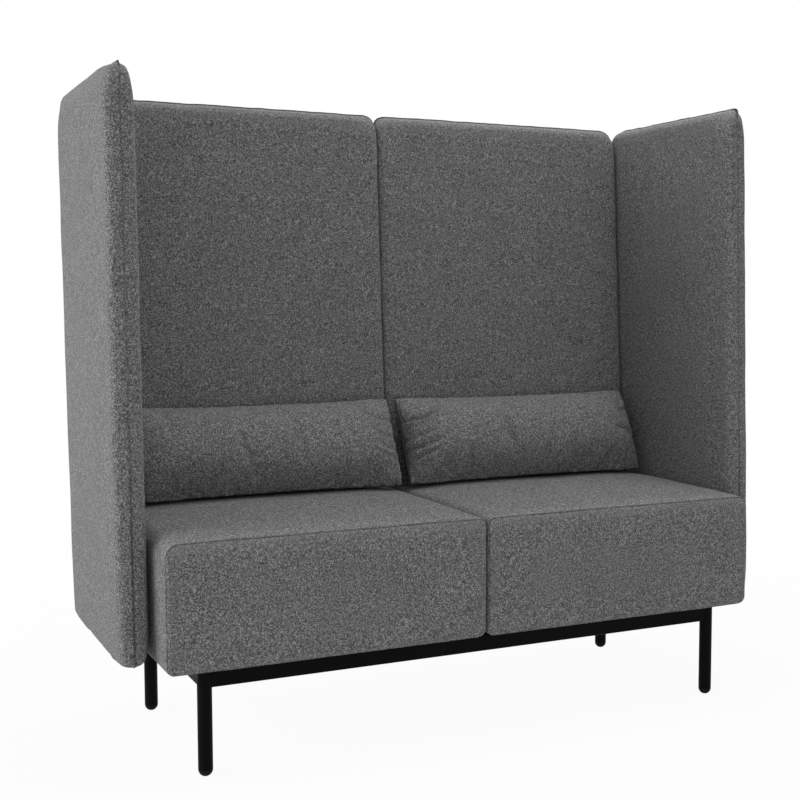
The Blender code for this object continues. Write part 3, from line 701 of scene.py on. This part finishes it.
def makeCushion(side, sign):
    look = cushionLook
    low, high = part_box("cushion_" + side)
    halfWide, halfTall = (high.x - low.x) / 2 + look["inward"], look["halfTall"]
    bm = bmesh.new()
    bmesh.ops.create_grid(bm, x_segments=look["gridWide"], y_segments=look["gridTall"], size=1.0)
    bmesh.ops.solidify(bm, geom=bm.faces[:], thickness=look["seamBand"])
    bmesh.ops.recalc_face_normals(bm, faces=bm.faces)
    middle = sum(v.co.z for v in bm.verts) / len(bm.verts)
    sortRim(bm, middle)
    pinned = []
    seam = bm.verts.layers.float.new("seam")
    for v in bm.verts:
        face = 1 if v.co.z > middle else -1
        # the rim is the seam: held still in the simulation and painted dark with shade
        if max(abs(v.co.x), abs(v.co.y)) > look["onRim"]:
            pinned.append(v.index)
            v[seam] = look["seamPaintedShade"]
        sideways = math.sin(math.pi / 2 * v.co.x)
        upward = math.sin(math.pi / 2 * v.co.y)
        swell = swellAt(sideways, *look["acrossCurve"]) * swellAt(upward, *look["upCurve"])
        corner = look["cornerCut"] * abs(sideways * upward) ** look["cornerPower"]  # a little rounded
        v.co = Vector((sideways * (halfWide - look["endDrawIn"] * (1 - upward ** 2) - corner),
                       upward * (halfTall - look["drawIn"] * (1 - sideways ** 2) - corner),
                       face * (look["seamBand"] / 2 + look["halfThick"] * swell)))
    bm.normal_update()
    for v, place in zip(bm.verts, blowUp(bm, "cushion_" + side, pinned)):
        move = place - v.co
        outward = move.dot(v.normal)
        if v.co.z < 0 and outward > 0:  # the side on the back keeps clear of it
            move -= v.normal * outward
        fromEnd = swellAt(v.co.x / halfWide, look["endFade"])
        v.co += move * fromEnd * min(1.0, look["reach"] / max(move.length, look["shortest"]))
    bm.normal_update()
    # the folds sink the cloth, and their valleys are painted dark with shade through the seam attribute
    for v, (shift, shade) in [(v, creases(v.co, halfWide, halfTall, sign)) for v in bm.verts]:
        if v.co.z > 0:
            v.co += v.normal * shift
            v[seam] = max(v[seam], look["foldShade"] * shade)
    # front of the sheet faces -Y, its upper edge leans back
    stand = Matrix.Rotation(math.pi / 2 - math.radians(look["tilt"]), 3, "X")
    bmesh.ops.rotate(bm, verts=bm.verts, cent=(0, 0, 0), matrix=stand)
    bmesh.ops.translate(bm, verts=bm.verts, vec=(low + high) / 2 - Vector((sign * look["inward"], 0, 0)))
    # it rests on the seat and leans on the back
    for v in bm.verts:
        v.co.z = max(v.co.z, low.z + look["seatClear"])
        v.co.y = min(v.co.y, backFaceAt(v.co.z) - look["backClear"])
    finishPiece(bm, "cushion_cover_" + side, litCushionWool, "cushion_" + side, "cushion_" + side)


for side, sign in sides:
    makeCushion(side, sign)
print("cushions made")


# studio: white floor and world, soft light from the left and from above, weak fill from the front. Near
# the sofa the floor keeps a faint shadow: whiteness is distance from and to, then the share of white
studio = {"ambient": 0.44, "backdrop": 1.0, "floorHalf": 14.0, "floorTone": 0.9, "floorRoughness": 0.9,
          "whiteness": (1.0, 2.6, 0.95, 1.0)}
lamps = ({"name": "key left", "place": (-3.6, 0.22, 1.3), "target": (0, 0.1, 0.8),
          "width": 2.2, "height": 1.8, "power": 63.0},
         {"name": "top", "place": (0.6, 0.12, 3.3), "target": (0.2, -0.1, 0.5),
          "width": 2.0, "height": 0.8, "power": 41.0},
         {"name": "front fill", "place": (-0.8, -3.7, 0.7), "target": (0.1, 0, 0.4),
          "width": 2.0, "height": 1.3, "power": 12.0})


def makeFloor():
    bm = bmesh.new()
    bmesh.ops.create_grid(bm, x_segments=1, y_segments=1, size=studio["floorHalf"])
    mesh = bpy.data.meshes.new("floor")
    bm.to_mesh(mesh)
    bm.free()
    floor = bpy.data.objects.new("floor", mesh)
    bpy.context.scene.collection.objects.link(floor)
    paint = Finish("white floor")
    paint.shade(Base_Color=grey(studio["floorTone"]), Roughness=studio["floorRoughness"])
    paint.shade(Specular_IOR_Level=0.0)
    glow = paint.node("ShaderNodeEmission", None, {"Color": grey(1.0), "Strength": studio["backdrop"]})
    away = paint.node("ShaderNodeVectorMath", {"operation": "LENGTH"}, {0: paint.place()}, "Value")
    factor = paint.backdropRays() * paint.remap(away, *studio["whiteness"])
    lit = Wire(paint, paint.shader.outputs["BSDF"])
    mixed = paint.node("ShaderNodeMixShader", None, {0: factor, 1: lit, 2: glow})
    paint.plug(paint.tree.nodes["Material Output"], {"Surface": mixed})
    mesh.materials.append(paint.material)


def makeWorld():
    world = bpy.data.worlds.new("studio")
    bpy.context.scene.world = world
    world.use_nodes = True
    room = Net(world.node_tree)
    air = room.tree.nodes["Background"]
    room.plug(air, {"Color": grey(1.0), "Strength": studio["ambient"]})
    wall = room.node("ShaderNodeBackground", None, {"Color": grey(1.0), "Strength": studio["backdrop"]})
    lit = Wire(room, air.outputs["Background"])
    mixed = room.node("ShaderNodeMixShader", None, {0: room.backdropRays(), 1: lit, 2: wall})
    room.plug(room.tree.nodes["World Output"], {"Surface": mixed})


def addSoftbox(name, place, target, width, height, power):
    light = bpy.data.lights.new(name, "AREA")
    light.shape = "RECTANGLE"
    light.size = width
    light.size_y = height
    light.energy = power
    lamp = bpy.data.objects.new(name, light)
    lamp.location = place
    lamp.rotation_euler = (Vector(target) - Vector(place)).to_track_quat("-Z", "Y").to_euler()
    bpy.context.scene.collection.objects.link(lamp)


makeFloor()
makeWorld()
for lamp in lamps:
    addSoftbox(**lamp)

# camera fitted to the photograph: focal length and optical axis in pixels of its square frame
cameraLook = {"place": (-1.2118, -2.6015, 0.8970), "yaw": 26.139, "pitch": 4.558, "focal": 1296.4,
              "axisPixel": 450.0, "framePixels": 800.0, "sensor": 36.0}
lens = bpy.data.cameras.new("camera")
lens.sensor_width = cameraLook["sensor"]
lens.lens = cameraLook["focal"] * cameraLook["sensor"] / cameraLook["framePixels"]
lens.shift_x = 0.5 - cameraLook["axisPixel"] / cameraLook["framePixels"]
camera = bpy.data.objects.new("camera", lens)
camera.location = cameraLook["place"]
camera.rotation_euler = (math.radians(90 - cameraLook["pitch"]), 0, math.radians(-cameraLook["yaw"]))
bpy.context.scene.collection.objects.link(camera)
bpy.context.scene.camera = camera
bpy.context.scene.view_settings.view_transform = "Standard"
print("studio ready")
